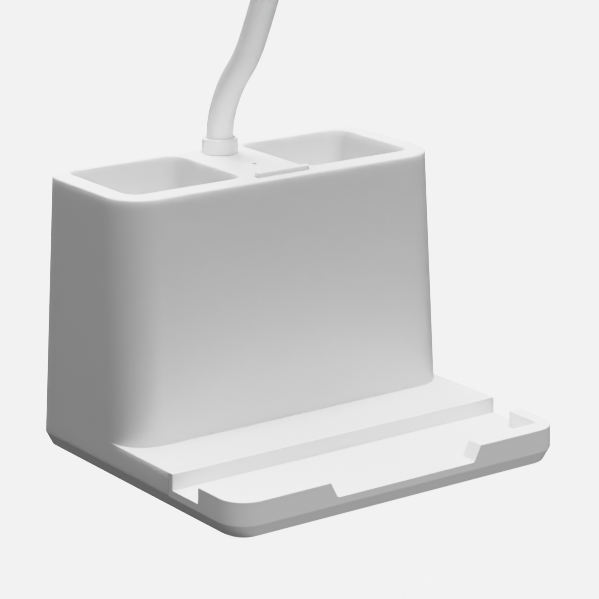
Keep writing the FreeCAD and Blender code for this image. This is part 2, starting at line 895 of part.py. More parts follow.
def neck_at(distance):
    # point and lean at a distance along the neck from the collar
    for start, lean, end_lean, length in neck_pieces():
        if distance <= length + 1e-9:
            share = distance / length
            return (neck_step(start, lean, end_lean, length, distance),
                    lean + (end_lean - lean) * share)
        distance -= length
    start, lean, end_lean, length = neck_pieces()[-1]
    end = neck_step(start, lean, end_lean, length, length)
    return end + neck_direction(end_lean) * distance, end_lean


def neck_length():
    return sum(length for length, _ in neck_bends)


def neck_run(begin, end, radius):
    # round bar along the neck between two distances from the collar
    marks, passed = [begin], 0.0
    for length, _ in neck_bends:
        passed += length
        if begin + 0.01 < passed < end - 0.01:
            marks.append(passed)
    marks.append(end)
    edges = []
    for low, high in zip(marks, marks[1:]):
        first, middle, last = (neck_at(at)[0] for at in (low, (low + high) / 2, high))
        chord = (last - first).normalize()
        bulge = (middle - first) - chord * (middle - first).dot(chord)
        if bulge.Length < 1e-4:
            edges.append(Part.LineSegment(first, last).toShape())
        else:
            edges.append(Part.Arc(first, middle, last).toShape())
    start, lean = neck_at(begin)
    ring = Part.Wire(Part.makeCircle(radius, start, neck_direction(lean)))
    return Part.Wire(edges).makePipeShell([ring], True, False)


def hinge_distances():
    step = (neck_length() - neck_root_length) / neck_segments
    return [neck_root_length + step * index for index in range(neck_segments + 1)]


def neck_segment(begin, end, has_socket, has_ball):
    # sleeve and core of one length of the neck, with a ball at its upper end and a
    # hollow at its lower end, so that it can turn on the piece below
    ball_point = neck_at(end)[0]
    sleeve = neck_run(begin, end, sleeve_radius)
    core = neck_run(begin, end, core_radius)
    if has_ball:
        sleeve = sleeve.fuse(Part.makeSphere(sleeve_radius, ball_point))
        direction = neck_direction(neck_at(end)[1])
        tip = Part.makeCylinder(core_radius, sleeve_radius - 0.5, ball_point, direction)
        core = core.fuse(tip)
    if has_socket:
        hollow = Part.makeSphere(sleeve_radius + joint_gap, neck_at(begin)[0])
        sleeve = sleeve.cut(hollow)
        core = core.cut(hollow)
    bore = neck_run(begin, end, core_radius + core_fit)
    if has_ball:
        bore = bore.fuse(Part.makeCylinder(core_radius + core_fit, sleeve_radius + 1, ball_point,
                                           neck_direction(neck_at(end)[1])))
    return sleeve.cut(bore), core


def neck_root():
    end = hinge_distances()[0]
    sleeve, core = neck_segment(0.0, end, False, True)
    seat = ferrule_seat - 0.1
    tail = cylinder(sleeve_radius, collar_top_z - seat, collar_top_z, neck_x, neck_y)
    tail = tail.cut(cylinder(core_radius + core_fit, 0, body_z * 2, neck_x, neck_y))
    stem = cylinder(core_radius, body_z - ferrule_drop + 0.5, collar_top_z, neck_x, neck_y)
    return sleeve.fuse(tail).removeSplitter(), core.fuse(stem).removeSplitter()


# ---- lamp head, drawn flat with the neck entering at the origin and then tipped

def place_head(shape):
    end, lean = neck_at(neck_length())
    placed = shape.copy()
    placed.rotate(Vector(0, 0, 0), Vector(1, 0, 0), lean - 90.0)
    placed.translate(end)
    return placed


def head_front():
    return -socket_length - head_length


def head_bottom():
    return -head_drop - bezel_height


def head_plate(inset, z0, z1):
    return rounded_prism(head_width / 2 - inset, head_front() + inset, -socket_length - inset,
                         z0, z1, head_radius - inset)


def head_shell():
    top = shell_height - head_drop
    shell = head_plate(0.0, -head_drop, top)
    shell = round_edges(shell, head_round, lambda edge: edge.BoundBox.ZMin > top - 0.01)
    shell = shell.cut(head_plate(head_wall, -head_drop - 1, top - head_wall))
    socket = Part.makeCylinder(socket_radius, socket_length + head_wall / 2, Vector(0, 0, 0),
                               Vector(0, -1, 0))
    rest = box(-socket_radius, socket_radius, -socket_length, 0.5, -head_drop,
               socket_radius)
    low = box(-socket_radius, socket_radius, -socket_length - head_wall, 0.5,
              -socket_radius - 1, -head_drop)
    socket = socket.cut(low)
    bore = Part.makeCylinder(sleeve_radius + core_fit, socket_grip, Vector(0, 0.5, 0),
                             Vector(0, -1, 0))
    wire_hole = Part.makeCylinder(core_radius + core_fit, socket_length + 2 * head_wall,
                                  Vector(0, 0.5, 0), Vector(0, -1, 0))
    posts = [cylinder(head_post_radius, -head_drop, top - head_wall / 2, side * head_screw_x,
                      head_middle()) for side in (-1, 1)]
    posts += [cylinder(head_post_radius, led_board_z() + led_board_thick, top - head_wall / 2,
                       side * led_peg_x, head_middle()) for side in (-1, 1)]
    drills = [cylinder(screw_radius, -head_drop - 1, -head_drop + head_screw_depth,
                       side * head_screw_x, head_middle()) for side in (-1, 1)]
    return shell.fuse([socket] + posts).cut([bore, wire_hole] + drills).removeSplitter()


def head_middle():
    return (head_front() - socket_length) / 2


def led_board_z():
    # underside of the lamp board, above the diffuser
    return head_bottom() + head_wall + diffuser_thick + led_height + led_gap


def head_bezel():
    bottom = head_bottom()
    frame = head_plate(0.0, bottom, -head_drop)
    frame = round_edges(frame, edge_round * 2, lambda edge: edge.BoundBox.ZMax < bottom + 0.01)
    room = head_plate(head_wall, bottom + head_wall, -head_drop + 1)
    window = rounded_prism(head_width / 2 - window_end_margin, head_front() + window_margin,
                           -socket_length - window_margin, bottom - 1, 1, window_radius)
    lip = head_plate(head_wall + fit, bottom + head_wall, -head_drop + head_lip).cut(
        head_plate(head_wall + fit + lip_wall, bottom - 1, -head_drop + head_lip + 1))
    posts = [cylinder(head_post_radius, bottom + head_wall / 2, -head_drop, side * head_screw_x,
                      head_middle()) for side in (-1, 1)]
    frame = frame.cut([room, window]).fuse([lip] + [post.cut(window) for post in posts])
    drills = []
    for side in (-1, 1):
        x = side * head_screw_x
        drills.append(cylinder(screw_radius + fit, bottom - 1, head_drop, x, head_middle()))
        drills.append(cylinder(screw_head_radius + fit, bottom - 1, bottom + screw_seat, x,
                               head_middle()))
    return frame.cut(drills).removeSplitter()


def diffuser():
    bottom = head_bottom()
    pane = rounded_prism(head_width / 2 - window_end_margin - fit,
                         head_front() + window_margin + fit, -socket_length - window_margin
                         - fit, bottom + 0.3, bottom + head_wall + diffuser_thick,
                         window_radius - fit)
    flange = rounded_prism(head_width / 2 - window_end_margin + diffuser_lip,
                           head_front() + window_margin - diffuser_lip,
                           -socket_length - window_margin + diffuser_lip,
                           bottom + head_wall, bottom + head_wall + diffuser_thick,
                           window_radius + diffuser_lip)
    return pane.fuse(flange).removeSplitter()


def led_board():
    inset = led_board_inset
    board = rounded_prism(head_width / 2 - window_end_margin, head_front() + inset,
                          -socket_length - inset, led_board_z(), led_board_z() + led_board_thick,
                          led_board_radius)
    return board


def led_chips():
    span = head_width - 2 * (window_end_margin + led_end_margin)
    pitch = span / (led_columns - 1)
    row_pitch = (head_length - 2 * led_board_inset) / led_rows
    chips = []
    for row in range(led_rows):
        y = head_middle() + (row - (led_rows - 1) / 2) * row_pitch
        for column in range(led_columns):
            x = -span / 2 + pitch * column
            chips.append(box(x - led_length / 2, x + led_length / 2, y - led_width / 2,
                             y + led_width / 2, led_board_z() - led_height, led_board_z()))
    return chips


def head_screws():
    bottom = head_bottom()
    screws = []
    for side in (-1, 1):
        x = side * head_screw_x
        head = cylinder(screw_head_radius, bottom + screw_sink, bottom + screw_seat, x,
                        head_middle())
        shank = cylinder(screw_radius - screw_slack, bottom + screw_seat - 0.1,
                         -head_drop + head_screw_depth - screw_tip, x, head_middle())
        screws.append(head.fuse(shank).removeSplitter())
    return screws


os.makedirs("parts", exist_ok=True)

export("main_housing", main_housing())
export("base_cover", base_cover())
export("rubber_feet", rubber_feet())
export("cover_screws", cover_screws())
export("power_key", power_key())
export("tact_switch", tact_switch())
export("switch_board", switch_board())
export("switch_screws", switch_screws())
export("indicator_light", indicator_light())
export("neck_collar", neck_collar())
export("neck_ferrule", neck_ferrule())
export("neck_washer", neck_washer())
export("neck_nut", neck_nut())
export("ballast_plate", ballast_plate())
export("ballast_screws", ballast_screws())
export("battery_cell", battery_cell())
export("battery_holder", battery_holder())
export("battery_contacts", battery_contacts())
export("control_board", control_board())
export("board_posts", board_posts())
export("board_screws", board_screws())
export("charge_socket", charge_socket())
export("drawer_front", drawer_front())
export("drawer_pan", drawer_pan())
export("drawer_screws", drawer_screws())

root_sleeve, root_core = neck_root()
export("neck_sleeve_0", root_sleeve)
export("neck_core_0", root_core)
hinges = hinge_distances()
for index in range(neck_segments):
    last = index == neck_segments - 1
    end = neck_length() + socket_grip - tip_gap if last else hinges[index + 1]
    sleeve, core = neck_segment(hinges[index], end, True, not last)
    export("neck_sleeve_%d" % (index + 1), sleeve)
    export("neck_core_%d" % (index + 1), core)
    point, lean = neck_at(hinges[index])
    print("hinge %d at (%.4f, %.4f, %.4f), lean %.3f"
          % (index + 1, point.x, point.y, point.z, lean))

for node, shape in (("head_shell", head_shell()), ("head_bezel", head_bezel()),
                    ("diffuser", diffuser()), ("led_board", led_board())):
    export(node, place_head(shape))
export("led_chips", [place_head(chip) for chip in led_chips()])
export("head_screws", [place_head(screw) for screw in head_screws()])
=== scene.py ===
import bpy
import bmesh
import json
import math
from mathutils import Matrix, Vector

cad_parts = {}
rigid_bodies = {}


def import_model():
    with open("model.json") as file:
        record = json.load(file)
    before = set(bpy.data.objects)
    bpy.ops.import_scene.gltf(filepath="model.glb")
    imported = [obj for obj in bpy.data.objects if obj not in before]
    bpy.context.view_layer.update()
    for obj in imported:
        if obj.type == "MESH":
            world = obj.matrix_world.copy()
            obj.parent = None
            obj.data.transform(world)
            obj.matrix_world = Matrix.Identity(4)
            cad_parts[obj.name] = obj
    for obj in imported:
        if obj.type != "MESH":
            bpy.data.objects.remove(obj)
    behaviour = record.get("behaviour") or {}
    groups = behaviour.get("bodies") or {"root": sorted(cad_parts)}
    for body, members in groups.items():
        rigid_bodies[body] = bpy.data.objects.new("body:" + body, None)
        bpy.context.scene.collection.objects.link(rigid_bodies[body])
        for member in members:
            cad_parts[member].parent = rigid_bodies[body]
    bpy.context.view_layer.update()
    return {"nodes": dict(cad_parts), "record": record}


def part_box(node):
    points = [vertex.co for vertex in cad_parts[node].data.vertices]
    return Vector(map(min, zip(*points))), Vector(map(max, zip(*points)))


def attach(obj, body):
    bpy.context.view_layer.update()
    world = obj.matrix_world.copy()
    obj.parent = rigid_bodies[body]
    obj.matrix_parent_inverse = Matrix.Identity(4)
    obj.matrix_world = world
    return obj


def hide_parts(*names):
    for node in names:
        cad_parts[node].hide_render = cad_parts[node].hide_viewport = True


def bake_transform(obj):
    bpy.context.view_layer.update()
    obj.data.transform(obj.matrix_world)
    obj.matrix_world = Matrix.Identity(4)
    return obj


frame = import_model()
print("frame loaded:", len(frame["nodes"]), "nodes")

mm = 0.001
tiny = 1e-9                # less than this is nothing
mergeForm = 1e-7           # points of a new form this near are one, in metres
mergeSolid = 1e-6          # and those of a solid's mesh
noiseEnds = (0.3, 0.7)     # most of a noise's values lie between these


class Graph:
    # a material's node tree, with short calls to add and join nodes
    def __init__(self, name):
        self.material = bpy.data.materials.new(name)
        self.material.use_nodes = True
        self.tree = self.material.node_tree
        self.tree.nodes.clear()
        self.output = self.tree.nodes.new("ShaderNodeOutputMaterial")
        self.shader = self.tree.nodes.new("ShaderNodeBsdfPrincipled")
        self.join(self.shader, "BSDF", self.output, "Surface")
        self.place = self.tree.nodes.new("ShaderNodeTexCoord")

    def join(self, fromNode, fromSocket, toNode, toSocket):
        self.tree.links.new(fromNode.outputs[fromSocket], toNode.inputs[toSocket])

    def noise(self, scale, detail=2.0, rough=0.5, stretch=None):
        node = self.tree.nodes.new("ShaderNodeTexNoise")
        node.inputs["Scale"].default_value = scale
        node.inputs["Detail"].default_value = detail
        node.inputs["Roughness"].default_value = rough
        if stretch:
            mapping = self.tree.nodes.new("ShaderNodeMapping")
            mapping.inputs["Scale"].default_value = stretch
            self.join(self.place, "Object", mapping, "Vector")
            self.join(mapping, "Vector", node, "Vector")
        else:
            self.join(self.place, "Object", node, "Vector")
        return node

    def span(self, source, low, high, lowIn=0.0, highIn=1.0, socket="Fac"):
        node = self.tree.nodes.new("ShaderNodeMapRange")
        node.inputs["From Min"].default_value = lowIn
        node.inputs["From Max"].default_value = highIn
        node.inputs["To Min"].default_value = low
        node.inputs["To Max"].default_value = high
        self.join(source, socket, node, "Value")
        return node

    def tint(self, source, dark, light):
        node = self.tree.nodes.new("ShaderNodeValToRGB")
        for stop, place, shade in zip(node.color_ramp.elements, noiseEnds, (dark, light)):
            stop.position = place
            stop.color = (*shade, 1.0)
        self.join(source, "Fac", node, "Fac")
        return node

    def bump(self, source, depth, strength, below=None):
        node = self.tree.nodes.new("ShaderNodeBump")
        node.inputs["Strength"].default_value = strength
        node.inputs["Distance"].default_value = depth
        self.join(source, "Fac", node, "Height")
        if below:
            self.join(below, "Normal", node, "Normal")
        return node

    def vectorMath(self, operation, source, value=None):
        # source is an output of another node
        node = self.tree.nodes.new("ShaderNodeVectorMath")
        node.operation = operation
        self.tree.links.new(source, node.inputs[0])
        if value:
            node.inputs[1].default_value = value
        return node


surfaces = {
    # fine, slow: scale, detail and roughness of the two noises, and how they are stretched
    # dark: the darkest part of the shade, where the slow noise is low
    # rough: least and most roughness over the finish's own, where the fine noise is at its ends
    # relief, sink: depth in metres and strength of the fine and the slow bumps
    "moulded": {"fine": (1800.0, 3.0, 0.6), "slow": (14.0, 2.0, 0.5), "dark": 0.985,
                "rough": (-0.05, 0.06, *noiseEnds), "relief": (0.000012, 0.6),
                "sink": (0.00006, 0.35), "sockets": {"IOR": 1.49}},
    "silicone": {"fine": (900.0, 4.0, 0.65), "slow": (35.0, 2.0, 0.5), "dark": 0.98,
                 "rough": (0.0, 0.12, *noiseEnds), "relief": (0.00001, 0.5),
                 "sockets": {"IOR": 1.42, "Sheen Weight": 0.12, "Sheen Roughness": 0.5}},
    "rubber": {"fine": (1400.0, 4.0, 0.7), "slow": (60.0, 2.0, 0.5), "dark": 0.8,
               "rough": (0.0, 0.16, 0.0, 1.0), "relief": (0.00003, 0.6)},
    "metal": {"fine": (900.0, 3.0, 0.6), "slow": (90.0, 3.0, 0.5), "dark": 0.86,
              "rough": (-0.08, 0.12, *noiseEnds), "relief": (0.000008, 0.5),
              "sockets": {"Metallic": 1.0}},
    # lacquered board with the weave of the glass cloth just showing through
    "board": {"fine": (420.0, 1.0, 0.5, (4.0, 1.0, 1.0)),
              "slow": (420.0, 1.0, 0.5, (1.0, 4.0, 1.0)), "dark": 0.8,
              "rough": (0.0, 0.12, 0.0, 1.0), "relief": (0.00001, 0.4)},
    "opal": {"fine": (2200.0, 2.0, 0.5), "slow": (20.0, 2.0, 0.5), "dark": 0.97,
             "rough": (0.0, 0.08, 0.0, 1.0), "relief": (0.000006, 0.4),
             "sockets": {"Subsurface Weight": 0.35, "Subsurface Radius": (0.004, 0.004, 0.004),
                         "Subsurface Scale": 0.5}},
    "glossy": {"fine": (1500.0, 2.0, 0.5), "slow": (40.0, 2.0, 0.5), "dark": 0.92,
               "rough": (0.0, 0.08, 0.0, 1.0), "relief": (0.000005, 0.4)},
}
thinWall = {
    # thin white walls let a little light through
    "Subsurface Weight": 0.8,
    "Subsurface Radius": (0.0025, 0.0025, 0.0025),
    "Subsurface Scale": 1.0,
}


def makeFinish(name, kind, shade, rough, extra=None):
    surface = surfaces[kind]
    g = Graph(name)
    fine = g.noise(*surface["fine"])
    slow = g.noise(*surface["slow"])
    dark = [value * surface["dark"] for value in shade]
    g.join(g.tint(slow, dark, shade), "Color", g.shader, "Base Color")
    least, most, lowIn, highIn = surface["rough"]
    g.join(g.span(fine, rough + least, rough + most, lowIn, highIn),
           "Result", g.shader, "Roughness")
    sink = g.bump(slow, *surface["sink"]) if "sink" in surface else None
    g.join(g.bump(fine, *surface["relief"], below=sink), "Normal", g.shader, "Normal")
    for socket, value in {**surface.get("sockets", {}), **(extra or {})}.items():
        g.shader.inputs[socket].default_value = value
    return g.material


finishes = {
    "casing_white": makeFinish("casingWhite", "moulded", (0.94, 0.94, 0.94), 0.42),
    "housing_white": makeFinish("housingWhite", "moulded", (0.94, 0.94, 0.94), 0.42, thinWall),
    "collar_white": makeFinish("collarWhite", "moulded", (0.85, 0.85, 0.85), 0.42),
    "key_white": makeFinish("keyWhite", "moulded", (0.92, 0.92, 0.921), 0.36),
    "sleeve_white": makeFinish("sleeveWhite", "silicone", (0.94, 0.94, 0.94), 0.48),
    "foot_rubber": makeFinish("footRubber", "rubber", (0.12, 0.12, 0.125), 0.72),
    "steel": makeFinish("plainSteel", "metal", (0.60, 0.60, 0.62), 0.32),
    "screw_steel": makeFinish("zincSteel", "metal", (0.62, 0.62, 0.64), 0.3),
    "ballast_steel": makeFinish("darkSteel", "metal", (0.16, 0.16, 0.17), 0.45),
    "spring_brass": makeFinish("springBrass", "metal", (0.72, 0.56, 0.28), 0.28),
    "board_green": makeFinish("boardGreen", "board", (0.02, 0.12, 0.05), 0.28),
    "board_white": makeFinish("boardWhite", "board", (0.78, 0.78, 0.76), 0.28),
    "led_yellow": makeFinish("ledYellow", "glossy", (0.85, 0.68, 0.18), 0.3),
    "opal_pane": makeFinish("opalPane", "opal", (0.84, 0.84, 0.83), 0.3),
    "light_pipe": makeFinish("lightPipe", "glossy", (0.35, 0.35, 0.36), 0.15),
    "cell_wrap": makeFinish("cellWrap", "glossy", (0.03, 0.12, 0.30), 0.22),
    "holder_black": makeFinish("holderBlack", "moulded", (0.03, 0.03, 0.03), 0.5),
    "switch_black": makeFinish("switchBlack", "moulded", (0.04, 0.04, 0.04), 0.45),
}
print("materials:", len(finishes))

for subpart in frame["record"]["subparts"]:
    node = frame["nodes"][subpart["node"]]
    node.data.materials.clear()
    node.data.materials.append(finishes[subpart["material_slot"]])
frame["nodes"]["main_housing"].data.materials[0] = finishes["housing_white"]


class NodeTree:
    # a Geometry Nodes tree with named inputs; each run of it gives a plain mesh
    def __init__(self, name, inputs):
        self.group = bpy.data.node_groups.new(name, "GeometryNodeTree")
        face = self.group.interface
        face.new_socket("Geometry", in_out="INPUT", socket_type="NodeSocketGeometry")
        face.new_socket("Geometry", in_out="OUTPUT", socket_type="NodeSocketGeometry")
        self.ids = {}
        for label, kind in inputs:
            socket = face.new_socket(label, in_out="INPUT", socket_type="NodeSocket" + kind)
            self.ids[label] = socket.identifier
        self.start = self.group.nodes.new("NodeGroupInput")
        self.end = self.group.nodes.new("NodeGroupOutput")

    def add(self, kind, **settings):
        node = self.group.nodes.new(kind)
        for name, value in settings.items():
            setattr(node, name, value)
        return node

    def join(self, fromNode, fromSocket, toNode, toSocket):
        self.group.links.new(fromNode.outputs[fromSocket], toNode.inputs[toSocket])

    def close(self, node, socket):
        # every tree ends in real geometry with its finish on it
        real = self.add("GeometryNodeRealizeInstances")
        self.finish = self.add("GeometryNodeSetMaterial")
        self.join(node, socket, real, "Geometry")
        self.join(real, "Geometry", self.finish, "Geometry")
        self.join(self.start, "Finish", self.finish, "Material")
        self.join(self.finish, "Geometry", self.end, "Geometry")
        return self

    def run(self, name, carrier, **values):
        # carrier is the object that the tree starts from; the result is a new plain mesh
        modifier = carrier.modifiers.new("tree", "NODES")
        modifier.node_group = self.group
        for label, value in values.items():
            modifier[self.ids[label.replace("_", " ")]] = value
        mesh = evaluatedMesh(carrier, name)
        carrier.modifiers.remove(modifier)
        return addPiece(name, mesh)


def evaluatedMesh(source, name):
    bpy.context.view_layer.update()
    graph = bpy.context.evaluated_depsgraph_get()
    mesh = bpy.data.meshes.new_from_object(source.evaluated_get(graph), depsgraph=graph)
    mesh.name = name
    return mesh


def addPiece(name, mesh):
    piece = bpy.data.objects.new(name, mesh)
    bpy.context.collection.objects.link(piece)
    return piece


def scratchObject(name, points):
    # loose points that a node tree starts from
    mesh = bpy.data.meshes.new(name)
    mesh.from_pydata(points, [], [])
    return addPiece(name, mesh)


def drop(*helpers):
    for helper in helpers:
        bpy.data.objects.remove(helper)


def meshFrom(name, form, finish, smoothAngle=35.0):
    # closes a bmesh into a clean mesh: doubles merged, faces outwards, edges marked by angle
    bmesh.ops.remove_doubles(form, verts=form.verts, dist=mergeForm)
    bmesh.ops.recalc_face_normals(form, faces=form.faces)
    for face in form.faces:
        face.smooth = True
    for edge in form.edges:
        if len(edge.link_faces) == 2:
            edge.smooth = edge.calc_face_angle(0.0) < math.radians(smoothAngle)
    mesh = bpy.data.meshes.new(name)
    form.to_mesh(mesh)
    form.free()
    mesh.materials.append(finish)
    return mesh


def turned(form, profile, centre, sides=64):
    # profile is a list of (radius, height); a radius of 0 closes the end in a point
    across = Vector((1.0, 1.0, 0.0)).normalized()
    other = Vector((-1.0, 1.0, 0.0)).normalized()
    rings = []
    for radius, height in profile:
        middle = Vector(centre) + Vector((0.0, 0.0, height))
        if radius < tiny:
            rings.append([form.verts.new(middle)])
            continue
        ring = []
        for step in range(sides):
            turn = 2.0 * math.pi * step / sides
            ring.append(form.verts.new(middle + across * (radius * math.cos(turn))
                                       + other * (radius * math.sin(turn))))
        rings.append(ring)
    for low, high in zip(rings, rings[1:]):
        for step in range(sides):
            after = (step + 1) % sides
            corners = [low[step % len(low)], low[after % len(low)],
                       high[after % len(high)], high[step % len(high)]]
            corners = list(dict.fromkeys(corners))
            if len(corners) > 2:
                form.faces.new(corners)


def arcPoints(centre, radius, begin, end, steps):
    # points of an arc in the (radius, height) plane of a turned profile, angles in degrees
    points = []
    for step in range(steps + 1):
        turn = math.radians(begin + (end - begin) * step / steps)
        points.append((centre[0] + radius * math.cos(turn), centre[1] + radius * math.sin(turn)))
    return points


collarLow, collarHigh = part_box("neck_collar")
neckSet = {
    "start": ((collarLow.x + collarHigh.x) / 2 / mm,       # middle of the collar's top, in mm
              (collarLow.y + collarHigh.y) / 2 / mm, collarHigh.z / mm),
    "lengths": (8.0, 18.0, 14.0, 20.0, 24.0, 38.0, 40.0, 26.0, 34.0),
    "leans": (20.0, 43.0, 27.0, 24.0, 0.0, -19.0, -10.5, 30.0, 96.0),
    "rootLength": 22.0,
    "joints": 7,
    "radius": 4.35,
    "seat": 0.85,                      # how far the sleeve stands down in the collar
    "intoHead": 4.3,                   # and how far it runs into the head's socket
    "sides": 56,
    "stepsPerMm": 2,                   # points of the line that the sleeve follows
    "ringPitch": 0.9,
    "bendReach": 11.0,                 # a length each side of a joint; the points there are worked out but not used
}


def neckPoint(distance):
    x, y, z = neckSet["start"]
    lean = 0.0
    if distance < 0.0:
        return Vector((x, y, z + distance)) * mm
    for length, endLean in zip(neckSet["lengths"], neckSet["leans"]):
        travelled = min(distance, length)
        turn = math.radians(endLean - lean)
        begin = math.radians(lean)
        end = begin + turn * travelled / length
        radius = length / turn
        y -= radius * (math.cos(begin) - math.cos(end))
        z += radius * (math.sin(end) - math.sin(begin))
        distance -= travelled
        lean = lean + (endLean - lean) * travelled / length
        if distance < tiny:
            break
    way = math.radians(lean)
    y -= distance * math.sin(way)
    z += distance * math.cos(way)
    return Vector((x, y, z)) * mm


def sleeveTree():
    tree = NodeTree("sleeveAlongPath", (
        ("Radius", "Float"), ("Sides", "Int"), ("Ring Pitch", "Float"),
        ("From", "Float"), ("To", "Float"), ("Finish", "Material")))
    cut = tree.add("GeometryNodeTrimCurve", mode="LENGTH")
    even = tree.add("GeometryNodeResampleCurve", mode="LENGTH")
    ring = tree.add("GeometryNodeCurvePrimitiveCircle")
    tube = tree.add("GeometryNodeCurveToMesh")
    smooth = tree.add("GeometryNodeSetShadeSmooth")
    tube.inputs["Fill Caps"].default_value = True
    tree.join(tree.start, "Geometry", cut, "Curve")
    tree.group.links.new(tree.start.outputs["From"], cut.inputs[4])
    tree.group.links.new(tree.start.outputs["To"], cut.inputs[5])
    tree.join(cut, "Curve", even, "Curve")
    tree.join(tree.start, "Ring Pitch", even, "Length")
    tree.join(tree.start, "Sides", ring, "Resolution")
    tree.join(tree.start, "Radius", ring, "Radius")
    tree.join(even, "Curve", tube, "Curve")
    tree.join(ring, "Curve", tube, "Profile Curve")
    tree.join(tube, "Mesh", smooth, "Geometry")
    return tree.close(smooth, "Geometry")


def makeNeck():
    total = sum(neckSet["lengths"])
    steps = int(total * neckSet["stepsPerMm"])
    low, high = -neckSet["seat"], total + neckSet["intoHead"]
    marks = [low] + [total * step / steps for step in range(steps + 1)] + [high]
    spine = bpy.data.curves.new("neckSpine", "CURVE")
    spine.dimensions = "3D"
    line = spine.splines.new("POLY")
    line.points.add(len(marks) - 1)
    for point, mark in zip(line.points, marks):
        point.co = (*neckPoint(mark), 1.0)
    carrier = addPiece("neckSpine", spine)
    tree = sleeveTree()
    pitch = (total - neckSet["rootLength"]) / neckSet["joints"]
    for index in range(neckSet["joints"]):
        joint = neckSet["rootLength"] + pitch * index
        begin = low if index == 0 else joint - pitch / 2
        end = high if index == neckSet["joints"] - 1 else joint + pitch / 2
        piece = tree.run("neckSleeve%d" % (index + 1), carrier, Radius=neckSet["radius"] * mm,
                         Sides=neckSet["sides"], Ring_Pitch=neckSet["ringPitch"] * mm,
                         From=(begin - low) * mm, To=(end - low) * mm,
                         Finish=finishes["sleeve_white"])
        flattenCaps(piece.data)
        nodes = ["neck_sleeve_%d" % index]
        if index == neckSet["joints"] - 1:
            nodes.append("neck_sleeve_%d" % (index + 1))
        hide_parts(*nodes)
        neckPoint(joint - neckSet["bendReach"])
        neckPoint(joint + neckSet["bendReach"])
        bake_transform(piece)
    drop(carrier)


def flattenCaps(mesh):
    for polygon in mesh.polygons:
        if len(polygon.vertices) > 4:
            polygon.use_smooth = False


collarSet = {
    "lip": 0.5,            # rounding of the outer top edge
    "foot": 0.25,          # small rounding where it stands on the casing
    "boreLow": 3.45,       # below the seat
    "boreHigh": 4.62,      # the well that the sleeve stands in
    "seat": 1.0,
    "flare": 0.45,         # height of the chamfer inside the top edge
    "flareWide": 0.55,     # its width, as a part of its height
    "sides": 96,
}


def makeCollar():
    size = collarSet
    radius = (collarHigh.x - collarLow.x) / 2 / mm
    height = (collarHigh.z - collarLow.z) / mm
    lip, foot = size["lip"], size["foot"]
    profile = [(size["boreLow"], 0.0), (radius - foot, 0.0)]
    profile += arcPoints((radius - foot, foot), foot, -90.0, 0.0, 4)[1:]
    profile += arcPoints((radius - lip, height - lip), lip, 0.0, 90.0, 8)
    profile += [(size["boreHigh"] + size["flare"] * size["flareWide"], height),
                (size["boreHigh"], height - size["flare"]),
                (size["boreHigh"], height - size["seat"]),
                (size["boreLow"], height - size["seat"]), (size["boreLow"], 0.0)]
    profile = [(r * mm, h * mm) for r, h in profile]
    form = bmesh.new()
    x, y, z = neckSet["start"]
    turned(form, profile, (x * mm, y * mm, (z - height) * mm), sides=size["sides"])
    piece = addPiece("neckCollar", meshFrom("neckCollar", form, finishes["collar_white"]))
    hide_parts("neck_collar")
    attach(piece, "base")
    print("collar done")


screwSet = {
    # one kind of pan head screw holds the cover, the drawer's front and the head, in mm
    "head": 2.3,           # radius
    "rise": 1.0,           # height of the head
    "shank": 1.2,          # radius
    "crown": 0.32,         # rounding of the head's rim
    "recess": 0.62,        # width of the cross's arms
    "reach": 1.35,         # half length of the cross
    "depth": 0.7,
    "taper": 0.72,         # the cross's size at its bottom
    "over": 0.2,           # the cutter stands this far out of the head
    "pitch": 0.9,          # of the thread
    "thread": 0.28,
    "threadFrom": 0.3,     # from the head to the thread
    "threadStop": 1.2,     # no new turn of thread in this much of the end
    "point": 0.8,          # length of the tapered end
    "tip": 0.25,           # radius
    "sides": 40,
    "turn": 31.0,          # each screw stops at another angle, in degrees
    "firstTurn": 0.35,     # in radians
    "headTurns": (0.9, 0.2),       # each and first turn of the two in the head, in radians
    "smooth": 28.0,        # edges sharper than this are hard, in degrees
}


def screwForm(length):
    # a pan head with a cross recess, and a threaded shank; its face looks down -Z from 0
    size = screwSet
    head, rise, crown = size["head"], size["rise"], size["crown"]
    shank, pitch, root = size["shank"], size["pitch"], size["shank"] - size["thread"]
    profile = [(0.0, 0.0), (head - crown, 0.0)]
    profile += arcPoints((head - crown, crown), crown, -90.0, 0.0, 5)[1:]
    profile += [(head, rise), (shank, rise)]
    height = rise + size["threadFrom"]
    while height < length - size["threadStop"]:
        profile += [(root, height), (shank, height + pitch / 2)]
        height += pitch
    profile += [(root, length - size["point"]), (size["tip"], length), (0.0, length)]
    form = bmesh.new()
    turned(form, [(r * mm, h * mm) for r, h in profile], (0.0, 0.0, 0.0), sides=size["sides"])
    body = addPiece("screwBody", meshFrom("screwBody", form, finishes["screw_steel"],
                                          size["smooth"]))
    cross = bmesh.new()
    for long, wide in ((size["reach"], size["recess"] / 2),
                       (size["recess"] / 2, size["reach"])):
        corners = []
        for height, share in ((-size["over"], 1.0), (size["depth"], size["taper"])):
            for x, y in ((-long, -wide), (long, -wide), (long, wide), (-long, wide)):
                corners.append(cross.verts.new((x * share * mm, y * share * mm, height * mm)))
        for loop in ((3, 2, 1, 0), (4, 5, 6, 7), (0, 1, 5, 4), (1, 2, 6, 5), (2, 3, 7, 6),
                     (3, 0, 4, 7)):
            cross.faces.new([corners[index] for index in loop])
    bmesh.ops.recalc_face_normals(cross, faces=cross.faces)
    mesh = bpy.data.meshes.new("crossCutter")
    cross.to_mesh(mesh)
    cross.free()
    cutter = addPiece("crossCutter", mesh)
    cut = body.modifiers.new("recess", "BOOLEAN")
    cut.operation = "DIFFERENCE"
    cut.solver = "EXACT"
    cut.use_self = True
    cut.object = cutter
    mesh = evaluatedMesh(body, "screwForm")
    drop(body, cutter)
    return addPiece("screwForm", mesh)


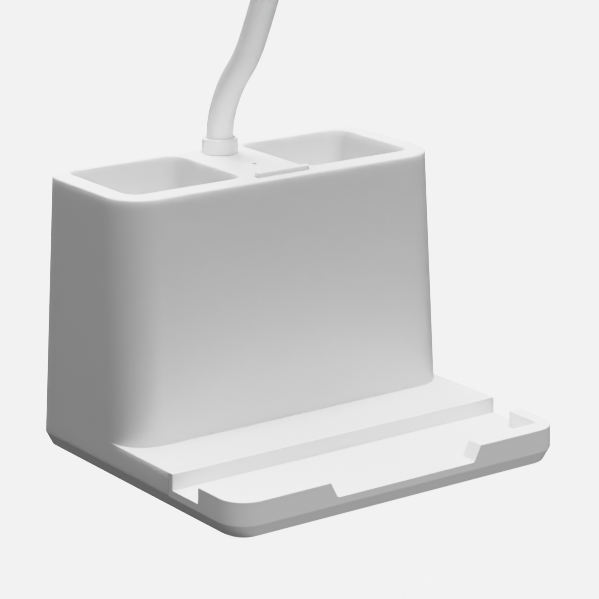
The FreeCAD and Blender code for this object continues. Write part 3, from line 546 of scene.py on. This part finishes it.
def repeatTree():
    # one form at each point of the carrier, each turned a little further than the last
    tree = NodeTree("formAtPoints", (("Form", "Object"), ("Turn Each", "Float"),
                                     ("First Turn", "Float"), ("Finish", "Material")))
    points = tree.add("GeometryNodeMeshToPoints")
    order = tree.add("GeometryNodeInputIndex")
    angle = tree.add("ShaderNodeMath", operation="MULTIPLY_ADD")
    turn = tree.add("ShaderNodeCombineXYZ")
    form = tree.add("GeometryNodeObjectInfo")
    spread = tree.add("GeometryNodeInstanceOnPoints")
    tree.join(tree.start, "Geometry", points, "Mesh")
    tree.group.links.new(order.outputs[0], angle.inputs[0])
    tree.group.links.new(tree.start.outputs["Turn Each"], angle.inputs[1])
    tree.group.links.new(tree.start.outputs["First Turn"], angle.inputs[2])
    tree.join(angle, "Value", turn, "Z")
    tree.join(tree.start, "Form", form, "Object")
    tree.join(points, "Points", spread, "Points")
    tree.join(form, "Geometry", spread, "Instance")
    tree.join(turn, "Vector", spread, "Rotation")
    return tree.close(spread, "Instances")


def solidSpots(node):
    # middle of each separate solid of a CAD node, and the node's lowest and highest corner
    low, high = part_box(node)
    copy = bmesh.new()
    copy.from_mesh(frame["nodes"][node].data)
    bmesh.ops.remove_doubles(copy, verts=copy.verts, dist=mergeSolid)
    left, spots = set(copy.verts), []
    while left:
        group, border = set(), [left.pop()]
        while border:
            vertex = border.pop()
            group.add(vertex)
            for edge in vertex.link_edges:
                other = edge.other_vert(vertex)
                if other in left:
                    left.discard(other)
                    border.append(other)
        xs = [vertex.co.x for vertex in group]
        ys = [vertex.co.y for vertex in group]
        spots.append(((min(xs) + max(xs)) / 2, (min(ys) + max(ys)) / 2))
    copy.free()
    return sorted(spots), low, high


def makeScrews():
    tree = repeatTree()
    for node, name, body in (("cover_screws", "coverScrews", "base"),
                             ("drawer_screws", "drawerScrews", "drawer")):
        spots, low, high = solidSpots(node)
        form = screwForm((high.z - low.z) / mm)
        carrier = scratchObject("screwSpots", [(x, y, low.z) for x, y in spots])
        piece = tree.run(name, carrier, Form=form, Turn_Each=math.radians(screwSet["turn"]),
                         First_Turn=screwSet["firstTurn"], Finish=finishes["screw_steel"])
        drop(carrier, form)
        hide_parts(node)
        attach(piece, body)
    print("screws done")
    return tree


footSet = {
    "radius": 5.0,
    "height": 1.4,
    "round": 0.45,
    "ring": 3.2,           # shallow groove in the sole
    "groove": 0.25,
    "sides": 56,
}


def makeFeet(tree):
    size = footSet
    radius, height, edge = size["radius"], size["height"], size["round"]
    ring, groove = size["ring"], size["groove"]
    profile = [(0.0, 0.0), (ring - groove, 0.0)]
    profile += [(ring - groove * math.cos(turn), groove * math.sin(turn))
                for turn in (math.radians(30.0 * step) for step in range(1, 6))]
    profile += [(ring + groove, 0.0), (radius - edge, 0.0)]
    profile += arcPoints((radius - edge, edge), edge, -90.0, 0.0, 6)[1:]
    profile += [(radius, height), (0.0, height)]
    form = bmesh.new()
    turned(form, [(r * mm, h * mm) for r, h in profile], (0.0, 0.0, 0.0), sides=size["sides"])
    foot = addPiece("footForm", meshFrom("footForm", form, finishes["foot_rubber"]))
    spots, low = solidSpots("rubber_feet")[:2]
    carrier = scratchObject("footSpots", [(x, y, low.z) for x, y in spots])
    piece = tree.run("rubberFeet", carrier, Form=foot, Turn_Each=0.0, First_Turn=0.0,
                     Finish=finishes["foot_rubber"])
    drop(carrier, foot)
    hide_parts("rubber_feet")
    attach(piece, "base")
    print("feet done")


keySet = {
    "corner": 0.85,        # plan rounding of the bar
    "leastCorner": 0.05,   # where the crown draws in
    "round": 0.4,          # rounding of the crown's edge
    "steps": 6,
    "flange": 0.8,         # hidden foot under the casing
    "flangeThick": 1.2,
}


def roundedLoop(low, high, corner, steps=8):
    # anticlockwise outline of a rounded rectangle between two corners, in the plane
    points = []
    for turn, x, y in ((0, high[0] - corner, high[1] - corner),
                       (90, low[0] + corner, high[1] - corner),
                       (180, low[0] + corner, low[1] + corner),
                       (270, high[0] - corner, low[1] + corner)):
        points += arcPoints((x, y), corner, turn, turn + 90, steps)
    return points


def stackLoops(form, loops):
    # loops are lists of points with the same count, joined side by side and capped
    rings = [[form.verts.new(point) for point in loop] for loop in loops]
    count = len(rings[0])
    for lower, upper in zip(rings, rings[1:]):
        for step in range(count):
            after = (step + 1) % count
            form.faces.new((lower[step], lower[after], upper[after], upper[step]))
    form.faces.new(rings[0][::-1])
    form.faces.new(rings[-1])


def makeKey():
    low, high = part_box("power_key")
    size = {name: value * mm for name, value in keySet.items()}
    foot, edge = size["flange"], size["round"]
    inner = ((low.x + foot, low.y + foot), (high.x - foot, high.y - foot))
    outer = ((low.x, low.y), (high.x, high.y))

    def loop(corners, shrink, height):
        (x0, y0), (x1, y1) = corners
        rounding = max(size["corner"] - shrink, size["leastCorner"])
        return [(x, y, height) for x, y in roundedLoop(
            (x0 + shrink, y0 + shrink), (x1 - shrink, y1 - shrink), rounding)]

    shelf = low.z + size["flangeThick"]
    loops = [loop(outer, 0.0, low.z), loop(outer, 0.0, shelf), loop(inner, 0.0, shelf)]
    for step in range(keySet["steps"] + 1):
        turn = math.radians(90.0 * step / keySet["steps"])
        loops.append(loop(inner, edge * (1.0 - math.cos(turn)),
                          high.z - edge + edge * math.sin(turn)))
    form = bmesh.new()
    stackLoops(form, loops)
    piece = addPiece("powerKey", meshFrom("powerKey", form, finishes["key_white"]))
    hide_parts("power_key")
    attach(piece, "key")
    print("power key done")


socketSet = {
    "wall": 0.42,          # sheet metal of the shell
    "flare": 0.12,         # rounding of its mouth
    "flat": 0.02,          # short straight side between two corners
    "depth": 5.4,
    "tongueWide": 6.6,
    "tongueThick": 0.7,
    "tongueCorner": 0.18,
    "tongueBack": 1.25,    # tongue's front edge behind the mouth
    # sections of the tongue's nose: behind its edge, and drawn in by
    "tongueNose": ((0.6, 0.0), (0.1, 0.06), (0.0, 0.14)),
    "contacts": 12,
    "contactWide": 0.24,
    "contactPitch": 0.5,
    "contactLong": 2.9,
    "contactRise": 0.03,
    "contactBack": 0.5,    # behind the tongue's edge
}


def contactTree():
    # a row of small bars, evenly spaced, on both sides of the tongue
    tree = NodeTree("contactRow", (
        ("Count", "Int"), ("Pitch", "Float"), ("Size", "Vector"), ("Lift", "Float"),
        ("Finish", "Material")))
    row = tree.add("GeometryNodeMeshLine", mode="OFFSET")
    step = tree.add("ShaderNodeCombineXYZ")
    bar = tree.add("GeometryNodeMeshCube")
    spread = tree.add("GeometryNodeInstanceOnPoints")
    both = tree.add("GeometryNodeJoinGeometry")
    lift = tree.add("ShaderNodeCombineXYZ")
    fall = tree.add("ShaderNodeCombineXYZ")
    negative = tree.add("ShaderNodeMath", operation="MULTIPLY")
    negative.inputs[1].default_value = -1.0
    upper = tree.add("GeometryNodeTransform")
    lower = tree.add("GeometryNodeTransform")
    tree.join(tree.start, "Count", row, "Count")
    tree.join(tree.start, "Pitch", step, "X")
    tree.join(step, "Vector", row, "Offset")
    tree.join(tree.start, "Size", bar, "Size")
    tree.join(row, "Mesh", spread, "Points")
    tree.join(bar, "Mesh", spread, "Instance")
    tree.join(tree.start, "Lift", lift, "Z")
    tree.group.links.new(tree.start.outputs["Lift"], negative.inputs[0])
    tree.join(negative, "Value", fall, "Z")
    for shift, turn in ((lift, upper), (fall, lower)):
        tree.join(spread, "Instances", turn, "Geometry")
        tree.join(shift, "Vector", turn, "Translation")
        tree.join(turn, "Geometry", both, "Geometry")
    return tree.close(both, "Geometry")


def makeSocket():
    low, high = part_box("charge_socket")
    size = socketSet
    middle = (low + high) / 2
    half, tall = (high.x - low.x) / 2, (high.z - low.z) / 2
    wall, flare = size["wall"] * mm, size["flare"] * mm

    def loop(shrink, back):
        corner = tall - shrink - size["flat"] * mm
        return [(middle.x - x, high.y - back, middle.z + z) for x, z in roundedLoop(
            (-half + shrink, -tall + shrink), (half - shrink, tall - shrink), corner, 10)]

    depth = size["depth"] * mm
    loops = [loop(0.0, high.y - low.y), loop(0.0, flare)]
    for step in range(5):
        turn = math.radians(45.0 * step)
        loops.append(loop(wall / 2 - wall / 2 * math.cos(turn),
                          flare * (1.0 - math.sin(turn))))
    loops.append(loop(wall, depth))
    form = bmesh.new()
    stackLoops(form, loops)
    shell = addPiece("chargeSocketShell", meshFrom("chargeSocketShell", form, finishes["steel"]))
    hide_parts("charge_socket")
    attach(shell, "base")

    wide, thick = size["tongueWide"] * mm / 2, size["tongueThick"] * mm / 2
    front = high.y - size["tongueBack"] * mm
    sections = [(high.y - depth, 0.0)]
    sections += [(front - back * mm, shrink * mm) for back, shrink in size["tongueNose"]]
    loops = [[(middle.x - x, y, middle.z + z) for x, z in roundedLoop(
        (-wide + shrink, -thick + shrink), (wide - shrink, thick - shrink),
        size["tongueCorner"] * mm, 4)] for y, shrink in sections]
    form = bmesh.new()
    stackLoops(form, loops)
    tongue = addPiece("chargeSocketTongue",
                      meshFrom("chargeSocketTongue", form, finishes["holder_black"]))
    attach(tongue, "base")

    tree = contactTree()
    carrier = scratchObject("contactCarrier", [(0.0, 0.0, 0.0)])
    pins = tree.run("chargeSocketContacts", carrier, Count=size["contacts"],
                    Pitch=size["contactPitch"] * mm,
                    Size=(size["contactWide"] * mm, size["contactLong"] * mm,
                          2 * size["contactRise"] * mm),
                    Lift=thick, Finish=finishes["spring_brass"])
    drop(carrier)
    span = size["contactPitch"] * mm * (size["contacts"] - 1)
    pins.data.transform(Matrix.Translation((middle.x - span / 2,
                                            front - size["contactBack"] * mm
                                            - size["contactLong"] * mm / 2, middle.z)))
    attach(pins, "base")
    print("charging socket done")


headSet = {
    "screwSide": 52.5,     # each screw from the head's middle, sideways
    "screwFront": -28.0,   # and from the neck's end
}
ledSet = {
    "rows": 2,
    "columns": 14,
    "long": 3.5,
    "wide": 2.8,
    "tall": 0.7,
    "rim": 0.45,           # white frame around the phosphor
    "dip": 0.12,           # phosphor below the frame
    "corners": (0.1, 0.1, 0.35, 0.3),     # of the foot, the frame, its window and the phosphor
    "smooth": 20.0,        # edges sharper than this are hard, in degrees
}


def headFrame():
    # turns the head's own flat frame into its place on the neck's end
    end = neckPoint(sum(neckSet["lengths"]))
    tilt = math.radians(neckSet["leans"][-1] - 90.0)
    return Matrix.Translation(end) @ Matrix.Rotation(tilt, 4, "X")


def makeHeadScrews(tree):
    place = headFrame()
    flat = place.inverted()
    heights = [(flat @ vertex.co).z for vertex in frame["nodes"]["head_screws"].data.vertices]
    form = screwForm((max(heights) - min(heights)) / mm)
    side, front = headSet["screwSide"] * mm, headSet["screwFront"] * mm
    carrier = scratchObject("screwSpots", [(x, front, min(heights)) for x in (-side, side)])
    turnEach, firstTurn = screwSet["headTurns"]
    piece = tree.run("headScrews", carrier, Form=form, Turn_Each=turnEach,
                     First_Turn=firstTurn, Finish=finishes["screw_steel"])
    drop(carrier, form)
    piece.data.transform(place)
    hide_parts("head_screws")
    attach(piece, "head")


def ledForm():
    # one lamp: a white frame with the yellow phosphor set a little into it
    size = ledSet
    x, y, rim = size["long"] / 2, size["wide"] / 2, size["rim"]
    insets = (0.0, 0.0, rim, rim + size["dip"])
    heights = (size["tall"], 0.0, 0.0, size["dip"])
    form = bmesh.new()
    stackLoops(form, [[(a * mm, b * mm, height * mm) for a, b in roundedLoop(
        (inset - x, inset - y), (x - inset, y - inset), corner, 1)]
        for inset, height, corner in zip(insets, heights, size["corners"])])
    mesh = meshFrom("ledForm", form, finishes["board_white"], size["smooth"])
    mesh.materials.append(finishes["led_yellow"])
    for polygon in mesh.polygons:
        if polygon.center.z > 0.0 and polygon.normal.z < -0.9 and len(polygon.vertices) > 4:
            polygon.material_index = 1
    return addPiece("ledForm", mesh)


def gridTree():
    # rows and columns of one form; the finish goes only on the form's first material
    tree = NodeTree("formGrid", (
        ("Form", "Object"), ("Columns", "Int"), ("Rows", "Int"), ("Long", "Float"),
        ("Deep", "Float"), ("Finish", "Material")))
    grid = tree.add("GeometryNodeMeshGrid")
    form = tree.add("GeometryNodeObjectInfo")
    spread = tree.add("GeometryNodeInstanceOnPoints")
    for label, socket in (("Columns", "Vertices X"), ("Rows", "Vertices Y"),
                          ("Long", "Size X"), ("Deep", "Size Y")):
        tree.join(tree.start, label, grid, socket)
    tree.join(tree.start, "Form", form, "Object")
    tree.join(grid, "Mesh", spread, "Points")
    tree.join(form, "Geometry", spread, "Instance")
    tree.close(spread, "Instances")
    index = tree.add("GeometryNodeInputMaterialIndex")
    first = tree.add("FunctionNodeCompare", data_type="INT", operation="EQUAL")
    tree.group.links.new(index.outputs[0], first.inputs[2])
    tree.join(first, "Result", tree.finish, "Selection")
    return tree


def makeLeds():
    place = headFrame()
    flat = place.inverted()
    points = [flat @ vertex.co for vertex in frame["nodes"]["led_chips"].data.vertices]
    low = Vector([min(point[axis] for point in points) for axis in range(3)])
    high = Vector([max(point[axis] for point in points) for axis in range(3)])
    form = ledForm()
    carrier = scratchObject("ledCarrier", [(0.0, 0.0, 0.0)])
    tree = gridTree()
    piece = tree.run("ledLamps", carrier, Form=form, Columns=ledSet["columns"],
                     Rows=ledSet["rows"], Long=high.x - low.x - ledSet["long"] * mm,
                     Deep=high.y - low.y - ledSet["wide"] * mm, Finish=finishes["board_white"])
    drop(carrier, form)
    piece.data.transform(place @ Matrix.Translation(((low.x + high.x) / 2, (low.y + high.y) / 2,
                                                     low.z)))
    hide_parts("led_chips")
    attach(piece, "head")
    print("lamps on the board:", ledSet["rows"] * ledSet["columns"])


makeNeck()
makeCollar()
formTree = makeScrews()
makeFeet(formTree)
makeKey()
makeSocket()
makeHeadScrews(formTree)
makeLeds()


cameraSet = {
    "place": (-0.45926, -0.63727, 0.27963),
    "yaw": 35.82,
    "down": 16.3,
    "focal": 2642.5,       # in pixels of a picture this wide
    "width": 599.0,
    "sensor": 36.0,
    "near": 0.01,
    "far": 20.0,
}


def makeCamera():
    data = bpy.data.cameras.new("camera")
    data.sensor_width = cameraSet["sensor"]
    data.lens = cameraSet["focal"] * cameraSet["sensor"] / cameraSet["width"]
    data.clip_start = cameraSet["near"]
    data.clip_end = cameraSet["far"]
    camera = bpy.data.objects.new("camera", data)
    bpy.context.collection.objects.link(camera)
    camera.rotation_euler = (math.radians(90.0 - cameraSet["down"]), 0.0,
                             math.radians(-cameraSet["yaw"]))
    camera.location = cameraSet["place"]
    bpy.context.scene.camera = camera


floorSet = {
    # a sheet that lies under the lamp and rises behind it, in metres
    "half": 4.0,
    "side": 6.0,
    "rise": 6.0,
    "bend": 0.9,
    "steps": 12,
    "wallRadius": 3.0,     # a wall all round closes every other view
    "wallHeight": 3.5,
}
paperSet = {
    "shades": ((0.17, 0.17, 0.17), (0.18, 0.18, 0.18)),
    "rough": 0.9,
    "patches": 3.0,
    "glow": 2.30,          # the paper is lit from within, so no shade of the room falls on it
    "glowInPaintedShade": 0.15,     # glow left under the base, a painted shade in the slit there
    "inset": 2.5,          # from the base's outline to the painted shade under it, in mm
    "blend": 1.2,
    "corner": 9.0,
}


def makeFloor():
    half, bend, steps = floorSet["half"], floorSet["bend"], floorSet["steps"]
    rows = [(-half, 0.0)]
    for step in range(steps + 1):
        turn = math.radians(90.0 * step / steps)
        rows.append((half - bend + bend * math.sin(turn), bend - bend * math.cos(turn)))
    rows.append((half, floorSet["rise"]))
    points = [(x, y, z) for y, z in rows for x in (-floorSet["side"], floorSet["side"])]
    faces = [(2 * i, 2 * i + 1, 2 * i + 3, 2 * i + 2) for i in range(len(rows) - 1)]
    mesh = bpy.data.meshes.new("floor")
    mesh.from_pydata(points, [], faces)
    mesh.polygons.foreach_set("use_smooth", [True] * len(mesh.polygons))
    mesh.materials.append(paper())
    floor = addPiece("floor", mesh)
    floor.rotation_euler[2] = math.radians(-cameraSet["yaw"])
    form = bmesh.new()
    radius = floorSet["wallRadius"]
    turned(form, [(radius, 0.0), (radius, floorSet["wallHeight"])], (0.0, 0.0, 0.0))
    wall = addPiece("wall", meshFrom("wall", form, mesh.materials[0]))
    wall.visible_shadow = False
    for sheet in (floor, wall):
        sheet.visible_diffuse = False     # the paper's glow is for the eye only
        sheet.visible_glossy = False


def paper():
    # white paper, with a painted shade only in the slit under the base
    g = Graph("floorPaper")
    slow = g.noise(paperSet["patches"])
    g.join(g.tint(slow, *paperSet["shades"]), "Color", g.shader, "Base Color")
    g.shader.inputs["Roughness"].default_value = paperSet["rough"]
    g.shader.inputs["Emission Color"].default_value = (1.0, 1.0, 1.0, 1.0)
    level = g.tree.nodes.new("ShaderNodeMapping")
    level.inputs["Rotation"].default_value = (0.0, 0.0, math.radians(-cameraSet["yaw"]))
    g.join(g.place, "Object", level, "Vector")
    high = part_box("base_cover")[1]
    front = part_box("drawer_front")[0].y
    corner = paperSet["corner"] * mm
    reach = level
    for operation, value in (
            ("SUBTRACT", (0.0, (front + high.y) / 2, 0.0)), ("ABSOLUTE", None),
            ("SUBTRACT", (high.x - corner, (high.y - front) / 2 - corner, 1.0)),
            ("MAXIMUM", (0.0, 0.0, 0.0)), ("LENGTH", None)):
        reach = g.vectorMath(operation, reach.outputs[0], value)
    # inside the base's outline the glow falls away: a painted shade under the base
    edge = corner - paperSet["inset"] * mm
    glow = g.span(reach, paperSet["glowInPaintedShade"], paperSet["glow"], edge - paperSet["blend"] * mm,
                  edge, "Value")
    g.join(glow, "Result", g.shader, "Emission Strength")
    return g.material


softBoxes = {
    # name: place, diameter and power
    "behindAbove": ((0.0, 0.5, 1.15), 0.8, 3.6),
    "frontAbove": ((0.05, -0.35, 1.2), 0.8, 5.0),
    "rightAbove": ((0.7, 0.0, 1.1), 0.8, 1.0),
    "above": ((0.0, -0.05, 1.3), 0.6, 12.0),
    "front": ((0.15, -1.3, 0.2), 0.8, 0.4),
    "behind": ((0.3, 1.2, 0.4), 0.8, 5.0),
    "neckFill": ((-0.75, -0.9, 0.35), 0.8, 4.7),
}
boxAim = (0.0, 0.0, 0.06)
fillSet = {
    # the fill is aimed at the gooseneck, and only it and its collar catch it
    "aim": (0.0, 0.03, 0.18),
    "lights": ("neckSleeve", "neckCollar"),
}
deskCard = {
    # light that the paper before the base sends back up
    "place": (0.1, -0.2535, 0.0004),
    "size": (0.7, 0.4),
    "power": 0.28,
}
roomLight = {
    # strength from each height, and where it lies from straight down, 0, to straight up, 1
    "below": (0.11, 0.45),       # light that comes back up from the desk
    "horizon": (0.0, 0.52),
    "zenith": (0.88, 1.0),
}
toneSteps = (
    # light of a surface and what is shown of it; white paper stops just short of full white
    (0.0, 0.0), (0.66, 0.586), (0.85, 0.71), (1.05, 0.80), (1.35, 0.857), (1.8, 0.879),
    (2.4, 0.888),
)


def areaLight(name, place, power, shape, size):
    data = bpy.data.lights.new(name, "AREA")
    data.shape = shape
    data.size = size
    data.energy = power
    light = addPiece(name, data)
    light.location = place
    return light


def makeLights():
    for name, (place, size, power) in softBoxes.items():
        light = areaLight(name, place, power, "DISK", size)
        aim = Vector(fillSet["aim"] if name == "neckFill" else boxAim) - light.location
        light.rotation_euler = aim.to_track_quat("-Z", "Y").to_euler()
    lit = bpy.data.collections.new("litByNeckFill")
    for piece in bpy.data.objects:
        if piece.name.startswith(fillSet["lights"]):
            lit.objects.link(piece)
    bpy.data.objects["neckFill"].light_linking.receiver_collection = lit
    wide, deep = deskCard["size"]
    card = areaLight("deskCard", deskCard["place"], deskCard["power"], "RECTANGLE", wide)
    card.data.size_y = deep
    card.rotation_euler[0] = math.pi


def makeRoom():
    world = bpy.data.worlds.new("studio")
    world.use_nodes = True
    tree = world.node_tree
    place = tree.nodes.new("ShaderNodeTexCoord")
    height = tree.nodes.new("ShaderNodeSeparateXYZ")
    half = tree.nodes.new("ShaderNodeMapRange")     # up and down, -1 to 1, made 0 to 1
    half.inputs["From Min"].default_value = -1.0
    ramp = tree.nodes.new("ShaderNodeValToRGB")
    stops = ramp.color_ramp.elements
    stops.new(roomLight["horizon"][1])
    for stop, (strength, share) in zip(stops, roomLight.values()):
        stop.position = share
        stop.color = (strength, strength, strength, 1.0)
    tree.links.new(place.outputs["Generated"], height.inputs["Vector"])
    tree.links.new(height.outputs["Z"], half.inputs["Value"])
    tree.links.new(half.outputs["Result"], ramp.inputs["Fac"])
    tree.links.new(ramp.outputs["Color"], tree.nodes["Background"].inputs["Strength"])
    tree.nodes["Background"].inputs["Color"].default_value = (1.0, 1.0, 1.0, 1.0)
    bpy.context.scene.world = world


def setTone():
    view = bpy.context.scene.view_settings
    view.view_transform = "Standard"
    view.use_curve_mapping = True
    mapping = view.curve_mapping
    mapping.extend = "HORIZONTAL"
    whitest, whitestShown = toneSteps[-1]
    mapping.white_level = (whitest, whitest, whitest)
    curve = mapping.curves[3]     # the one for all three colours
    curve.points[-1].location = (1.0, whitestShown)
    for light, shown in toneSteps[1:-1]:
        curve.points.new(light / whitest, shown)
    for point in curve.points:
        point.handle_type = "VECTOR"
    mapping.update()


makeCamera()
makeFloor()
makeLights()
makeRoom()
setTone()
print("camera, floor and lights ready")
